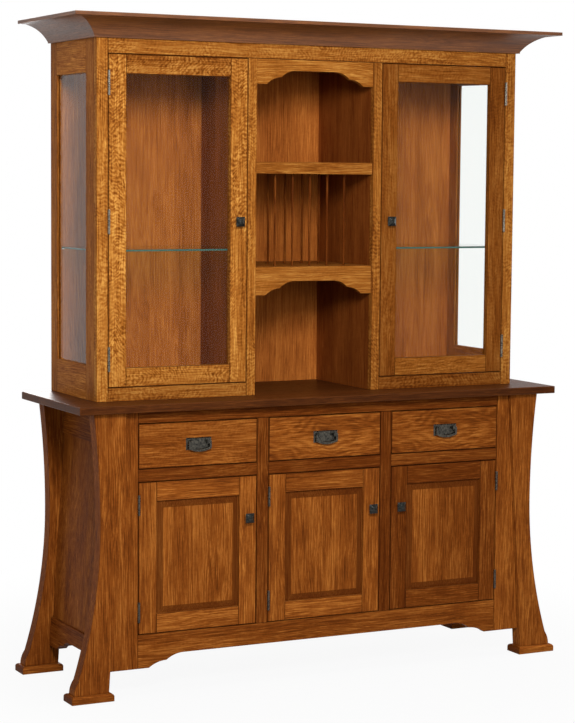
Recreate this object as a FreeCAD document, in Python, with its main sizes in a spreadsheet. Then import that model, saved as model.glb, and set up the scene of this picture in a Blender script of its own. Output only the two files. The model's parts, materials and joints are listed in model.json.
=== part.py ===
import FreeCAD
import Part
import math
import os
import re

# Three-bay display hutch standing on a buffet base with flared legs, in millimetres.
# X runs across the front, Y from the front (negative) to the back, Z up.
# The origin lies on the floor under the middle of the hutch.

# Driving dimensions, one cell each on the sheet
SIZES = {
    # Buffet top
    "top_thick": 24,
    "top_end_overhang": 55,
    "top_front_overhang": 38,
    "top_back_overhang": 6,
    "top_ease": 2,
    # Base case and its face frame
    "case_depth": 472,
    "frame_thick": 20,
    "opening_width": 408,
    "mullion_width": 40,
    "top_rail_height": 37.5,
    "drawer_opening": 142.5,
    "mid_rail_height": 39,
    "door_opening": 479,
    "stile_head_width": 44,
    "stile_floor_width": 102,
    "apron_low": 86,
    "apron_height": 106.5,
    "apron_scroll_inset": 38,
    "apron_cove_span": 59,
    "apron_cove_rise": 19.5,
    # Legs and foot pads
    "leg_thick": 45,
    "leg_proud": 12,
    "leg_head_width": 107,
    "leg_waist_inset": 21.5,
    "leg_waist_height": 540,
    "leg_cusp_flare": 50.5,
    "leg_cusp_height": 68,
    "leg_toe_flare": 65,
    "foot_thick": 24,
    "foot_overhang": 15,
    "foot_end_overhang": 12,
    "foot_ease": 9,
    # Base sides, back and inner boards
    "side_rail_thick": 35,
    "side_panel_recess": 6,
    "side_panel_thick": 12,
    "side_top_rail_height": 110,
    "side_bottom_rail_height": 94,
    "side_front_scroll_inset": 8,
    "side_rear_scroll_inset": 66,
    "side_cove_span": 51,
    "back_thick": 12,
    "bottom_thick": 18,
    "partition_thick": 18,
    "deck_thick": 18,
    "guide_height": 22,
    "guide_width": 20,
    # Drawers
    "drawer_front_thick": 20,
    "drawer_side_thick": 12,
    "drawer_side_height": 112,
    "drawer_back_clearance": 40,
    "drawer_floor_thick": 6,
    "drawer_floor_rise": 10,
    "run_clearance": 0.3,
    # Doors, shared by the base and the hutch
    "door_gap": 2.5,
    "door_thick": 20,
    "door_member": 60,
    "groove_depth": 9,
    "groove_clearance": 0.3,
    "groove_setback": 9.5,
    "panel_tongue": 6,
    "panel_field_recess": 1.5,
    "panel_bevel": 22,
    "glass_door_member": 58,
    "door_glass_thick": 4,
    # Knobs
    "knob_inset": 30,
    "base_knob_drop": 132,
    "hutch_knob_rise": 510,
    "knob_width": 31,
    "knob_neck_width": 20,
    "knob_crown_width": 9,
    "knob_flare": 6,
    "knob_crown": 9,
    "knob_stem_width": 13,
    "knob_stem_length": 12,
    # Butt hinges
    "hinge_radius": 4.2,
    "hinge_stand_off": 0.3,
    "hinge_pin_radius": 2,
    "hinge_pin_clearance": 0.05,
    "hinge_knuckle_gap": 0.3,
    "hinge_leaf_thick": 0.6,
    "hinge_leaf_depth": 16,
    "base_hinge_length": 63,
    "base_hinge_inset": 38,
    "hutch_hinge_length": 76,
    "hutch_hinge_inset": 49,
    # Bail pulls
    "pull_width": 87,
    "pull_height": 39,
    "pull_plate_thick": 3.5,
    "pull_plate_bevel": 3,
    "bail_pivot_rise": 6,
    "bail_stand_off": 7.5,
    "bail_span": 72,
    "bail_bar": 6,
    "bail_thick": 5,
    "bail_arm_drop": 20,
    "bail_belly": 10,
    "bail_head": 3.5,
    "bail_pin_radius": 2,
    "bail_pin_length": 7,
    "bail_pin_clearance": 0.05,
    "post_width": 9,
    "post_height": 10,
    "post_nose": 4.5,
    "post_clearance": 0.5,
    # Hutch case
    "hutch_depth": 393,
    "hutch_stile": 38.5,
    "hutch_door_width": 475.5,
    "hutch_centre_stile": 31,
    "centre_opening": 423,
    "hutch_bottom_rail": 42.5,
    "hutch_door_opening": 1027,
    "hutch_top_rail": 46,
    "cornice_backing": 60,
    "side_thick": 20,
    "side_front_stile": 67,
    "side_rear_stile": 55,
    "side_lower_rail": 108,
    "side_upper_rail": 103,
    "side_glass_thick": 6,
    "side_glass_setback": 7,
    "hutch_back_thick": 10,
    "hutch_board_thick": 18,
    "hutch_roof_drop": 8,
    # Centre bay
    "shelf_thick": 20,
    "shelf_lip_height": 38,
    "upper_shelf_rise": 744.5,
    "lower_shelf_rise": 410.5,
    "valance_thick": 18,
    "valance_setback": 5,
    "valance_flat": 36,
    "valance_end_flat": 38,
    "valance_cove_span": 51,
    "valance_cove_rise": 22,
    "lower_valance_flat": 48,
    "dowel_radius": 3.5,
    "dowel_pitch": 63,
    "dowel_front_setback": 39,
    "dowel_rear_setback": 215,
    # Glass shelves
    "glass_shelf_rise": 468.5,
    "glass_shelf_thick": 6,
    "glass_shelf_setback": 12,
    "glass_shelf_clearance": 1.5,
    "clip_length": 12,
    "clip_width": 9,
    "clip_thick": 3,
    # Cornice
    "cornice_height": 69,
    "cornice_lip": 10,
    "cornice_lip_height": 4,
    "cornice_cove_reach": 78,
    "cornice_cove_rise": 54,
    "cornice_cove_sag": 10.5,
    "cornice_reach": 111,
    # How far a cutting tool runs past what it cuts
    "overrun": 5,
}
DOWELS_PER_ROW = 5
KNUCKLE_SIDES = 10

# Places worked out from the driving dimensions
PLACES = {
    "face": "(top_front_overhang - case_depth - foot_overhang) / 2",
    "frame_back": "face + frame_thick",
    "case_back": "face + case_depth",
    "back_front": "case_back - back_thick",
    "door_floor": "apron_low + apron_height",
    "door_top": "door_floor + door_opening",
    "drawer_floor": "door_top + mid_rail_height",
    "drawer_top": "drawer_floor + drawer_opening",
    "under_top": "drawer_top + top_rail_height",
    "base_height": "under_top + top_thick",
    "side_panel_floor": "apron_low + side_bottom_rail_height",
    "column_half": "opening_width / 2",
    "mullion_out": "column_half + mullion_width",
    "partition_in": "column_half + (mullion_width - partition_thick) / 2",
    "partition_out": "partition_in + partition_thick",
    "stile_in": "mullion_out + opening_width",
    "lean_head": "stile_in + stile_head_width",
    "lean_floor": "stile_in + stile_floor_width",
    "leg_front": "face - leg_proud",
    "leg_back": "leg_front + leg_thick",
    "rear_leg_front": "case_back - leg_thick",
    "leg_head": "lean_head + leg_head_width",
    "leg_toe": "leg_head + leg_toe_flare",
    "top_half": "leg_head + top_end_overhang",
    "top_back": "case_back + top_back_overhang",
    "hutch_face": "top_back - hutch_depth",
    "hutch_frame_back": "hutch_face + frame_thick",
    "hutch_back_front": "top_back - hutch_back_thick",
    "centre_half": "centre_opening / 2",
    "bay_in": "centre_half + hutch_centre_stile",
    "bay_out": "bay_in + hutch_door_width",
    "hutch_half": "bay_out + hutch_stile",
    "hutch_inside": "hutch_half - side_thick",
    "hutch_door_floor": "base_height + hutch_bottom_rail",
    "hutch_door_top": "hutch_door_floor + hutch_door_opening",
    "cornice_floor": "hutch_door_top + hutch_top_rail",
    "hutch_head": "cornice_floor + cornice_backing",
    "upper_shelf_height": "base_height + upper_shelf_rise",
    "lower_shelf_height": "base_height + lower_shelf_rise",
    "glass_shelf_height": "base_height + glass_shelf_rise",
    "partition_face": "centre_half + hutch_board_thick",
    "side_stile_back": "hutch_frame_back + side_front_stile",
    "side_stile_front": "top_back - side_rear_stile",
    "side_glass_floor": "base_height + side_lower_rail",
    "side_glass_top": "cornice_floor - side_upper_rail",
}

doc = FreeCAD.newDocument("hutch")
sheet = doc.addObject("Spreadsheet::Sheet", "Sizes")
for row, (alias, number) in enumerate(SIZES.items(), start=1):
    sheet.set(f"A{row}", alias)
    sheet.set(f"B{row}", str(number))
    sheet.setAlias(f"B{row}", alias)
doc.recompute()
nodes = []


def formula(text):
    """Spell a sum of named sizes and places as an expression on the sheet."""
    def spell(match):
        word = match.group()
        if word in PLACES:
            return f"({formula(PLACES[word])})"
        return f"Sizes.{word}"
    return re.sub(r"[a-z]\w*", spell, text)


def mm(text):
    """Work out a sum of named sizes and places."""
    return float(sheet.evalExpression(formula(text)))


def bind(item, **sums):
    """Bind properties of an object to sums of named sizes."""
    for name, text in sums.items():
        item.setExpression(name, formula(text))


def put(item, x, y, z):
    """Bind where an object stands."""
    for axis, text in zip("xyz", (x, y, z)):
        item.setExpression(f"Placement.Base.{axis}", formula(text))
    return item


def keep(item):
    """Mark an object as a node, which is written to a file of its own."""
    nodes.append(item)
    return item


def group(label, pieces):
    """Collect pieces of one body that share a node."""
    compound = doc.addObject("Part::Compound", label)
    compound.Links = pieces
    return keep(compound)


def mirrored(span, side):
    """Give a span of the right half as it lies on the given side."""
    if side == "right":
        return span
    return (f"-({span[1]})", f"-({span[0]})")


def sign(side):
    """Give the direction of X on the given side."""
    return 1 if side == "right" else -1


def board(label, x, y, z):
    """Make a square-edged board between two places along each axis."""
    box = doc.addObject("Part::Box", label)
    spans = dict(zip(("Length", "Width", "Height"), (x, y, z)))
    bind(box, **{name: f"({end}) - ({start})" for name, (start, end) in spans.items()})
    return put(box, x[0], y[0], z[0])


def frustum(label, front, back, y):
    """Make a block whose rectangle changes from front to back; rectangles are (half width, half height)."""
    wedge = doc.addObject("Part::Wedge", label)
    bind(
        wedge,
        Xmin=f"-({front[0]})", Xmax=front[0], Zmin=f"-({front[1]})", Zmax=front[1],
        X2min=f"-({back[0]})", X2max=back[0], Z2min=f"-({back[1]})", Z2max=back[1],
        Ymin=y[0], Ymax=y[1],
    )
    return wedge


def rod(label, radius, length, axis):
    """Make a round rod that runs from its place along Z or along X."""
    turns = {"z": FreeCAD.Rotation(), "x": FreeCAD.Rotation(FreeCAD.Vector(0, 1, 0), 90)}
    cylinder = doc.addObject("Part::Cylinder", label)
    cylinder.Placement = FreeCAD.Placement(FreeCAD.Vector(), turns[axis])
    bind(cylinder, Radius=radius, Height=length)
    return cylinder


def knuckle(label, length):
    """Make an upright many-sided hinge knuckle."""
    prism = doc.addObject("Part::Prism", label)
    prism.Polygon = KNUCKLE_SIDES
    bind(prism, Circumradius="hinge_radius", Height=length)
    return prism


def fused(label, pieces):
    """Join pieces into one solid."""
    fuse = doc.addObject("Part::MultiFuse", label)
    fuse.Shapes = pieces
    return fuse


def cut(label, base, tool):
    """Cut a tool out of a base."""
    piece = doc.addObject("Part::Cut", label)
    piece.Base = base
    piece.Tool = tool
    return piece


def common(label, base, tool):
    """Keep what two shapes share."""
    piece = doc.addObject("Part::Common", label)
    piece.Base = base
    piece.Tool = tool
    return piece


def trace(steps):
    """Draw a closed outline: a start point, then points to draw to and (midpoint, end) arcs."""
    curves = []
    here = FreeCAD.Vector(*steps[0])
    for step in steps[1:] + steps[:1]:
        is_arc = isinstance(step[0], tuple)
        end = FreeCAD.Vector(*(step[1] if is_arc else step))
        if is_arc:
            curves.append(Part.Arc(here, FreeCAD.Vector(*step[0]), end))
        else:
            curves.append(Part.LineSegment(here, end))
        here = end
    return curves


def padded(label, role, steps, span):
    """Pad an outline on one of the origin planes, from one place to another square to that plane."""
    body = doc.addObject("PartDesign::Body", label)
    sketch = body.newObject("Sketcher::SketchObject", f"{label}_outline")
    support = next(item for item in body.Origin.OriginFeatures if item.Role == role)
    sketch.AttachmentSupport = [(support, "")]
    sketch.MapMode = "FlatFace"
    sketch.addGeometry(trace(steps), False)
    pad = body.newObject("PartDesign::Pad", f"{label}_pad")
    pad.Profile = sketch
    bind(pad, Length=f"({span[1]}) - ({span[0]})")
    # A pad on the XZ plane grows towards the front, so it starts at its back end
    start = span[1] if role == "XZ_Plane" else span[0]
    places = {"XZ_Plane": ("0", start, "0"), "YZ_Plane": (start, "0", "0"), "XY_Plane": ("0", "0", start)}
    return put(body, *places[role])


def eased(body, feature, lowest, **size):
    """Fillet or chamfer the edges of a padded body that lie wholly above a height of its own."""
    doc.recompute()
    pad = body.Tip
    edges = pad.Shape.Edges
    names = [f"Edge{index}" for index, edge in enumerate(edges, start=1) if edge.BoundBox.ZMin > lowest]
    easing = body.newObject(f"PartDesign::{feature}", f"{body.Name}_easing")
    easing.Base = (pad, names)
    bind(easing, **size)
    return body


def level_arc(start, end):
    """Find the midpoint of an arc that leaves start and runs into end along the first axis."""
    run = start[0] - end[0]
    rise = end[1] - start[1]
    radius = (run * run + rise * rise) / (2 * rise)
    half = math.atan(run / (radius - rise)) / 2
    return (end[0] + radius * math.sin(half), end[1] - radius + radius * math.cos(half))


def plumb_arc(start, end):
    """Find the midpoint of an arc that leaves start and runs into end along the second axis."""
    return level_arc(start[::-1], end[::-1])[::-1]


def lean(height):
    """Give how far out the leaning plane of the base's sides stands at a height."""
    floor = mm("lean_floor")
    return floor + (mm("lean_head") - floor) * height / mm("under_top")


def scroll(left, right, low, insets, cove_span, cove_rise):
    """Draw a scroll-cut lower edge from left to right: two coves up to a flat, and down again."""
    middle = low + cove_rise
    high = middle + cove_rise
    steps = [(left, low)]
    for end, way, inset in zip((left, right), (1, -1), insets):
        outer = (end + way * inset, low)
        cusp = (outer[0] + way * cove_span, middle)
        inner = (cusp[0] + way * cove_span, high)
        if way == 1:
            steps += [outer, (level_arc(outer, cusp), cusp), (level_arc(cusp, inner), inner)]
        else:
            steps += [inner, (level_arc(cusp, inner), cusp), (level_arc(outer, cusp), outer)]
    return steps + [(right, low)]


# Buffet top
def make_buffet_top():
    half = mm("top_half")
    front = mm("face - top_front_overhang")
    back = mm("top_back")
    corners = [(-half, front), (half, front), (half, back), (-half, back)]
    top = padded("buffet_top", "XY_Plane", corners, ("under_top", "base_height"))
    keep(eased(top, "Chamfer", -mm("overrun"), Size="top_ease"))


# Flared legs: a straight leaning inner edge, and outside two long coves, a cusp and a round toe
def make_leg(end, side):
    way = sign(side)
    head = (mm("leg_head"), mm("under_top"))
    waist = (mm("leg_head - leg_waist_inset"), mm("leg_waist_height"))
    cusp = (mm("leg_head + leg_cusp_flare"), mm("leg_cusp_height"))
    toe = (mm("leg_toe"), mm("foot_thick"))
    steps = [
        (lean(head[1]), head[1]),
        head,
        (plumb_arc(head, waist), waist),
        (plumb_arc(cusp, waist), cusp),
        (plumb_arc(cusp, toe), toe),
        (lean(toe[1]), toe[1]),
    ]
    turned = []
    for step in steps:
        if isinstance(step[0], tuple):
            turned.append(tuple((way * x, z) for x, z in step))
        else:
            turned.append((way * step[0], step[1]))
    spans = {"front": ("leg_front", "leg_back"), "rear": ("rear_leg_front", "case_back")}
    keep(padded(f"leg_{end}_{side}", "XZ_Plane", turned, spans[end]))


def make_foot_pads():
    spans = {"front": ("leg_front", "leg_back"), "rear": ("rear_leg_front", "case_back")}
    overhang = mm("foot_overhang")
    pads = []
    for end, (start, stop) in spans.items():
        for side in ("left", "right"):
            inner = sign(side) * (lean(mm("foot_thick")) - mm("foot_end_overhang"))
            outer = sign(side) * mm("leg_toe + foot_end_overhang")
            front = mm(start) - overhang
            back = mm(stop) + overhang
            corners = [(inner, front), (outer, front), (outer, back), (inner, back)]
            pad = padded(f"foot_pad_{end}_{side}", "XY_Plane", corners, ("0", "foot_thick"))
            pads.append(eased(pad, "Fillet", mm("foot_thick") / 2, Radius="foot_ease"))
    group("foot_pads", pads)


# Face frame of the base: leaning outer stiles, rails, mullions and the scroll apron
def make_base_face_frame():
    frame = ("face", "frame_back")
    pieces = []
    inner = mm("stile_in")
    low = mm("apron_low")
    head = mm("under_top")
    for side in ("left", "right"):
        corners = [(inner, low), (lean(low), low), (lean(head), head), (inner, head)]
        corners = [(sign(side) * x, z) for x, z in corners]
        pieces.append(padded(f"base_stile_{side}", "XZ_Plane", corners, frame))
        x = mirrored(("column_half", "mullion_out"), side)
        pieces.append(board(f"base_mullion_{side}", x, frame, ("door_floor", "drawer_top")))
    whole = ("-(stile_in)", "stile_in")
    pieces.append(board("base_top_rail", whole, frame, ("drawer_top", "under_top")))
    for column, x in COLUMNS.items():
        pieces.append(board(f"base_mid_rail_{column}", x, frame, ("door_top", "drawer_floor")))
    group("base_face_frame", pieces)
    insets = (mm("apron_scroll_inset"), mm("apron_scroll_inset"))
    edge = scroll(-inner, inner, low, insets, mm("apron_cove_span"), mm("apron_cove_rise"))
    top = mm("door_floor")
    keep(padded("base_apron", "XZ_Plane", edge + [(inner, top), (-inner, top)], frame))


# The three columns of drawers and doors
COLUMNS = {
    "left": ("-(stile_in)", "-(mullion_out)"),
    "centre": ("-(column_half)", "column_half"),
    "right": ("mullion_out", "stile_in"),
}


# Leaning sides of the base: a plain upper rail, a recessed panel and a scroll-cut lower rail
def make_base_side(side):
    span = ("leg_back", "rear_leg_front")
    thick = mm("side_rail_thick")
    recess = mm("side_panel_recess")

    def leaning(name, outer, inner, low, high):
        corners = [
            (lean(low) + inner, low), (lean(low) + outer, low),
            (lean(high) + outer, high), (lean(high) + inner, high),
        ]
        corners = [(sign(side) * x, z) for x, z in corners]
        return padded(f"base_side_{side}_{name}", "XZ_Plane", corners, span)

    head = mm("under_top")
    panel_top = mm("under_top - side_top_rail_height")
    panel_floor = mm("side_panel_floor")
    low = mm("apron_low")
    panel_out = thick - recess
    panel_in = panel_out - mm("side_panel_thick")
    front = mm("leg_back")
    back = mm("rear_leg_front")
    insets = (mm("side_front_scroll_inset"), mm("side_rear_scroll_inset"))
    edge = scroll(front, back, low, insets, mm("side_cove_span"), mm("apron_cove_rise"))
    reach = mirrored(("lean_head", "leg_toe"), side)
    cutter = padded(
        f"base_side_{side}_scroll", "YZ_Plane", edge + [(back, panel_floor), (front, panel_floor)], reach,
    )
    lower = leaning("lower_rail_blank", thick, 0, low, panel_floor)
    group(f"base_side_{side}", [
        leaning("upper_rail", thick, 0, panel_top, head),
        leaning("panel", panel_out, panel_in, panel_floor, panel_top),
        common(f"base_side_{side}_lower_rail", lower, cutter),
    ])


def between_leaning_sides(label, low, high, span):
    """Make an upright board that fits between the leaning inner edges of the legs."""
    corners = [(-lean(low), low), (lean(low), low), (lean(high), high), (-lean(high), high)]
    return padded(label, "XZ_Plane", corners, span)


def make_base_back():
    keep(between_leaning_sides("base_back", mm("apron_low"), mm("under_top"), ("back_front", "case_back")))


# Inner boards of the base: floor, partitions, drawer decks and the guides beside each drawer
def make_base_carcase():
    depth = ("frame_back", "back_front")
    low = mm("door_floor - bottom_thick")
    pieces = [between_leaning_sides("base_floor", low, mm("door_floor"), depth)]
    deck = ("drawer_floor - deck_thick", "drawer_floor")
    guide = ("drawer_floor", "drawer_floor + guide_height")
    for side in ("left", "right"):
        x = mirrored(("partition_in", "partition_out"), side)
        pieces.append(board(f"base_partition_{side}", x, depth, ("door_floor", "under_top")))
        x = mirrored(("partition_out", "lean_head"), side)
        pieces.append(board(f"drawer_deck_{side}", x, depth, deck))
        guides = {
            "centre": ("column_half", "partition_in"),
            "inner": ("partition_out", "mullion_out"),
            "outer": ("stile_in", "stile_in + guide_width"),
        }
        for name, x in guides.items():
            pieces.append(board(f"drawer_guide_{name}_{side}", mirrored(x, side), depth, guide))
    pieces.append(board("drawer_deck_centre", ("-(partition_in)", "partition_in"), depth, deck))
    group("base_carcase", pieces)


# Drawers: an inset front, a four-board box, and a bail pull whose bail turns on two pins
def make_drawer(column):
    x = COLUMNS[column]
    inside = (f"{x[0]} + door_gap", f"{x[1]} - door_gap")
    front = ("face", "face + drawer_front_thick")
    height = ("drawer_floor + door_gap", "drawer_top - door_gap")
    keep(board(f"drawer_front_{column}", inside, front, height))

    low = "drawer_floor + run_clearance"
    y = (front[1], "back_front - drawer_back_clearance")
    sides = (low, f"{low} + drawer_side_height")
    left = (inside[0], f"{inside[0]} + drawer_side_thick")
    right = (f"{inside[1]} - drawer_side_thick", inside[1])
    across = (left[1], right[0])
    back = (f"{y[1]} - drawer_side_thick", y[1])
    floor = (f"{low} + drawer_floor_rise", f"{low} + drawer_floor_rise + drawer_floor_thick")
    group(f"drawer_box_{column}", [
        board(f"drawer_left_side_{column}", left, y, sides),
        board(f"drawer_right_side_{column}", right, y, sides),
        board(f"drawer_back_{column}", across, back, (floor[1], sides[1])),
        board(f"drawer_bottom_{column}", across, y, floor),
    ])
    make_pull(column, f"({x[0]} + {x[1]}) / 2", "(drawer_floor + drawer_top) / 2")


def make_pull(column, x, z):
    plate = frustum(
        f"pull_plate_{column}_plate",
        ("pull_width / 2 - pull_plate_bevel", "pull_height / 2 - pull_plate_bevel"),
        ("pull_width / 2", "pull_height / 2"),
        ("-(pull_plate_thick)", "0"),
    )
    pieces = [put(plate, x, "face", z)]
    pivot_y = "face - pull_plate_thick - bail_stand_off"
    pivot_z = f"{z} + bail_pivot_rise"
    arm_in = "(bail_span - bail_bar) / 2"
    bore = rod(f"pull_plate_{column}_bore", "bail_pin_radius + bail_pin_clearance", "bail_span", "x")
    put(bore, f"{x} - bail_span / 2", pivot_y, pivot_z)
    for side in ("left", "right"):
        post_x = mirrored((f"{arm_in} - post_clearance - post_width", f"{arm_in} - post_clearance"), side)
        post = board(
            f"pull_plate_{column}_post_{side}",
            (f"{x} + {post_x[0]}", f"{x} + {post_x[1]}"),
            (f"{pivot_y} - post_nose", "face - pull_plate_thick"),
            (f"{pivot_z} - post_height / 2", f"{pivot_z} + post_height / 2"),
        )
        pieces.append(cut(f"pull_plate_{column}_bored_post_{side}", post, bore))
    keep(fused(f"pull_plate_{column}", pieces))

    # The bail hangs from its two pins: arms, and a belly that swells downwards
    out = mm("(bail_span + bail_bar) / 2")
    inn = mm(arm_in)
    head = mm("bail_head")
    outer_low = -mm("bail_arm_drop")
    inner_low = outer_low + mm("bail_bar") / 2
    belly = mm("bail_belly")
    bow = padded(f"bail_{column}_bow", "XZ_Plane", [
        (-out, head), (-out, outer_low),
        ((0, outer_low - belly), (out, outer_low)),
        (out, head), (inn, head), (inn, inner_low),
        ((0, inner_low - belly + mm("bail_bar") / 2), (-inn, inner_low)),
        (-inn, head),
    ], ("0", "bail_thick"))
    parts = [put(bow, x, f"{pivot_y} + bail_thick / 2", pivot_z)]
    for side in ("left", "right"):
        pin = rod(f"bail_{column}_pin_{side}", "bail_pin_radius", "bail_pin_length + bail_bar / 2", "x")
        start = mirrored((f"{arm_in} - bail_pin_length", f"{arm_in} + bail_bar / 2"), side)[0]
        parts.append(put(pin, f"{x} + {start}", pivot_y, pivot_z))
    keep(fused(f"bail_{column}", parts))


# Framed doors and sides: stiles grooved from end to end, rails with stub tenons in those grooves
def widened(span, margin):
    """Give a span that reaches further by a margin at both ends."""
    return (f"{span[0]} - ({margin})", f"{span[1]} + ({margin})")


def grooved_frame(label, stiles, rails, stile_groove, rail_groove):
    """Groove the stiles, join each rail to its tenons and groove it where the infill enters."""
    pieces = [cut(f"{stile.Name}_grooved", stile, stile_groove) for stile in stiles]
    for core, tenons in rails:
        blank = fused(f"{core.Name}_tenoned", [core, tenons])
        pieces.append(cut(f"{core.Name}_grooved", blank, rail_groove))
    group(label, pieces)


def make_door_frame(label, x, z, face, member, thick):
    """Make a door's stiles and rails, grooved for an infill of the given thickness."""
    y = (face, f"{face} + door_thick")
    inner_x = (f"{x[0]} + {member}", f"{x[1]} - {member}")
    inner_z = (f"{z[0]} + {member}", f"{z[1]} - {member}")
    groove_y = (f"{face} + groove_setback", f"{face} + groove_setback + {thick}")
    groove_x = widened(inner_x, "groove_depth + groove_clearance")
    groove_z = widened(inner_z, "groove_depth + groove_clearance")
    stiles = [
        board(f"{label}_left_stile", (x[0], inner_x[0]), y, z),
        board(f"{label}_right_stile", (inner_x[1], x[1]), y, z),
    ]
    rails = []
    for name, span in (("top_rail", (inner_z[1], z[1])), ("bottom_rail", (z[0], inner_z[0]))):
        core = board(f"{label}_{name}", inner_x, y, span)
        tenons = board(f"{label}_{name}_tenons", widened(inner_x, "groove_depth"), groove_y, span)
        rails.append((core, tenons))
    stile_groove = board(f"{label}_stile_groove", groove_x, groove_y, widened(z, "overrun"))
    rail_groove = board(f"{label}_rail_groove", groove_x, groove_y, groove_z)
    grooved_frame(label, stiles, rails, stile_groove, rail_groove)
    return inner_x, inner_z, groove_y


def infill(label, inner_x, y, inner_z):
    """Make a sheet that reaches into the groove of its frame."""
    return board(label, widened(inner_x, "groove_depth"), y, widened(inner_z, "groove_depth"))


def make_knob(label, x, face, z):
    post = ("knob_stem_width / 2", "knob_stem_width / 2")
    neck = ("knob_neck_width / 2", "knob_neck_width / 2")
    rim = ("knob_width / 2", "knob_width / 2")
    crown = ("knob_crown_width / 2", "knob_crown_width / 2")
    back = f"{face} - knob_stem_length"
    stem = frustum(f"{label}_stem", post, post, ("-(knob_stem_length)", "0"))
    flare = frustum(f"{label}_flare", rim, neck, ("-(knob_flare)", "0"))
    pyramid = frustum(f"{label}_pyramid", crown, rim, ("-(knob_crown)", "0"))
    keep(fused(label, [
        put(stem, x, face, z),
        put(flare, x, back, z),
        put(pyramid, x, f"{back} - knob_flare", z),
    ]))


def make_hinges(label, edge, face, way, lows, length):
    """Make butt hinges in the gap at a door's edge; way points from the gap towards the door."""
    middle = f"{edge} + ({way}) * door_gap / 2"
    axis_y = f"{face} - hinge_radius - hinge_stand_off"
    third = f"{length} / 3"
    moving = []
    fixed = []
    leaf_y = (axis_y, f"{face} + hinge_leaf_depth")
    tab = {"door": f"{middle} + ({way}) * (door_gap - hinge_leaf_thick) / 2",
           "case": f"{middle} - ({way}) * (door_gap - hinge_leaf_thick) / 2"}

    def leaf(name, of, z):
        x = (f"{tab[of]} - hinge_leaf_thick / 2", f"{tab[of]} + hinge_leaf_thick / 2")
        return board(name, x, leaf_y, z)

    for index, low in enumerate(lows, start=1):
        name = f"{label}_{index}"
        pin = put(rod(f"{name}_pin", "hinge_pin_radius", length, "z"), middle, axis_y, low)
        parts = [pin]
        ends = {"lower": low, "upper": f"{low} + 2 * {third} + hinge_knuckle_gap"}
        tall = f"{third} - hinge_knuckle_gap"
        for end, start in ends.items():
            parts.append(put(knuckle(f"{name}_{end}_knuckle", tall), middle, axis_y, start))
            parts.append(leaf(f"{name}_{end}_leaf", "case", (start, f"{start} + {tall}")))
        fixed.append(fused(f"{name}_case_half", parts))
        start = f"{low} + {third}"
        door_knuckle = put(knuckle(f"{name}_knuckle", third), middle, axis_y, start)
        door_leaf = leaf(f"{name}_leaf", "door", (start, f"{start} + {third}"))
        blank = fused(f"{name}_blank", [door_knuckle, door_leaf])
        bore = rod(f"{name}_bore", "hinge_pin_radius + hinge_pin_clearance", length, "z")
        moving.append(cut(f"{name}_door_half", blank, put(bore, middle, axis_y, low)))
    group(label, moving)
    return fixed


# Base doors: the left and centre ones hang on their left edges, the right one on its right edge
BASE_DOOR_HINGES = {"left": "left", "centre": "left", "right": "right"}


def make_base_doors():
    case_halves = []
    for column, hinged in BASE_DOOR_HINGES.items():
        opening = COLUMNS[column]
        x = (f"{opening[0]} + door_gap", f"{opening[1]} - door_gap")
        z = ("door_floor + door_gap", "door_top - door_gap")
        inner_x, inner_z, groove_y = make_door_frame(
            f"base_door_{column}_frame", x, z, "face", "door_member", "panel_tongue",
        )
        tongue = infill(f"base_door_{column}_tongue", inner_x, groove_y, inner_z)
        half = (f"({inner_x[1]} - ({inner_x[0]})) / 2", f"({inner_z[1]} - ({inner_z[0]})) / 2")
        field = frustum(
            f"base_door_{column}_field",
            (f"{half[0]} - panel_bevel", f"{half[1]} - panel_bevel"), half,
            ("panel_field_recess", "groove_setback"),
        )
        put(field, f"({x[0]} + {x[1]}) / 2", "face", f"({z[0]} + {z[1]}) / 2")
        keep(fused(f"base_door_{column}_panel", [tongue, field]))
        knob_x = f"{x[1]} - knob_inset" if hinged == "left" else f"{x[0]} + knob_inset"
        make_knob(f"base_door_{column}_knob", knob_x, "face", f"{z[1]} - base_knob_drop")
        edge = opening[0] if hinged == "left" else opening[1]
        lows = (f"{z[0]} + base_hinge_inset", f"{z[1]} - base_hinge_inset - base_hinge_length")
        way = "1" if hinged == "left" else "-1"
        case_halves += make_hinges(
            f"base_door_{column}_hinges", edge, "face", way, lows, "base_hinge_length",
        )
    group("base_case_hinges", case_halves)


# Glazed doors of the hutch, hung on their outer edges
def make_hutch_doors():
    case_halves = []
    for side in ("left", "right"):
        opening = mirrored(("bay_in", "bay_out"), side)
        x = (f"{opening[0]} + door_gap", f"{opening[1]} - door_gap")
        z = ("hutch_door_floor + door_gap", "hutch_door_top - door_gap")
        inner_x, inner_z, groove_y = make_door_frame(
            f"hutch_door_{side}_frame", x, z, "hutch_face", "glass_door_member", "door_glass_thick",
        )
        keep(infill(f"hutch_door_{side}_glass", inner_x, groove_y, inner_z))
        knob_x = f"{x[1]} - knob_inset" if side == "left" else f"{x[0]} + knob_inset"
        make_knob(f"hutch_door_{side}_knob", knob_x, "hutch_face", f"{z[0]} + hutch_knob_rise")
        edge = opening[0] if side == "left" else opening[1]
        lows = (
            f"{z[0]} + hutch_hinge_inset",
            f"({z[0]} + {z[1]} - hutch_hinge_length) / 2",
            f"{z[1]} - hutch_hinge_inset - hutch_hinge_length",
        )
        way = "1" if side == "left" else "-1"
        case_halves += make_hinges(
            f"hutch_door_{side}_hinges", edge, "hutch_face", way, lows, "hutch_hinge_length",
        )
    group("hutch_case_hinges", case_halves)


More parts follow.
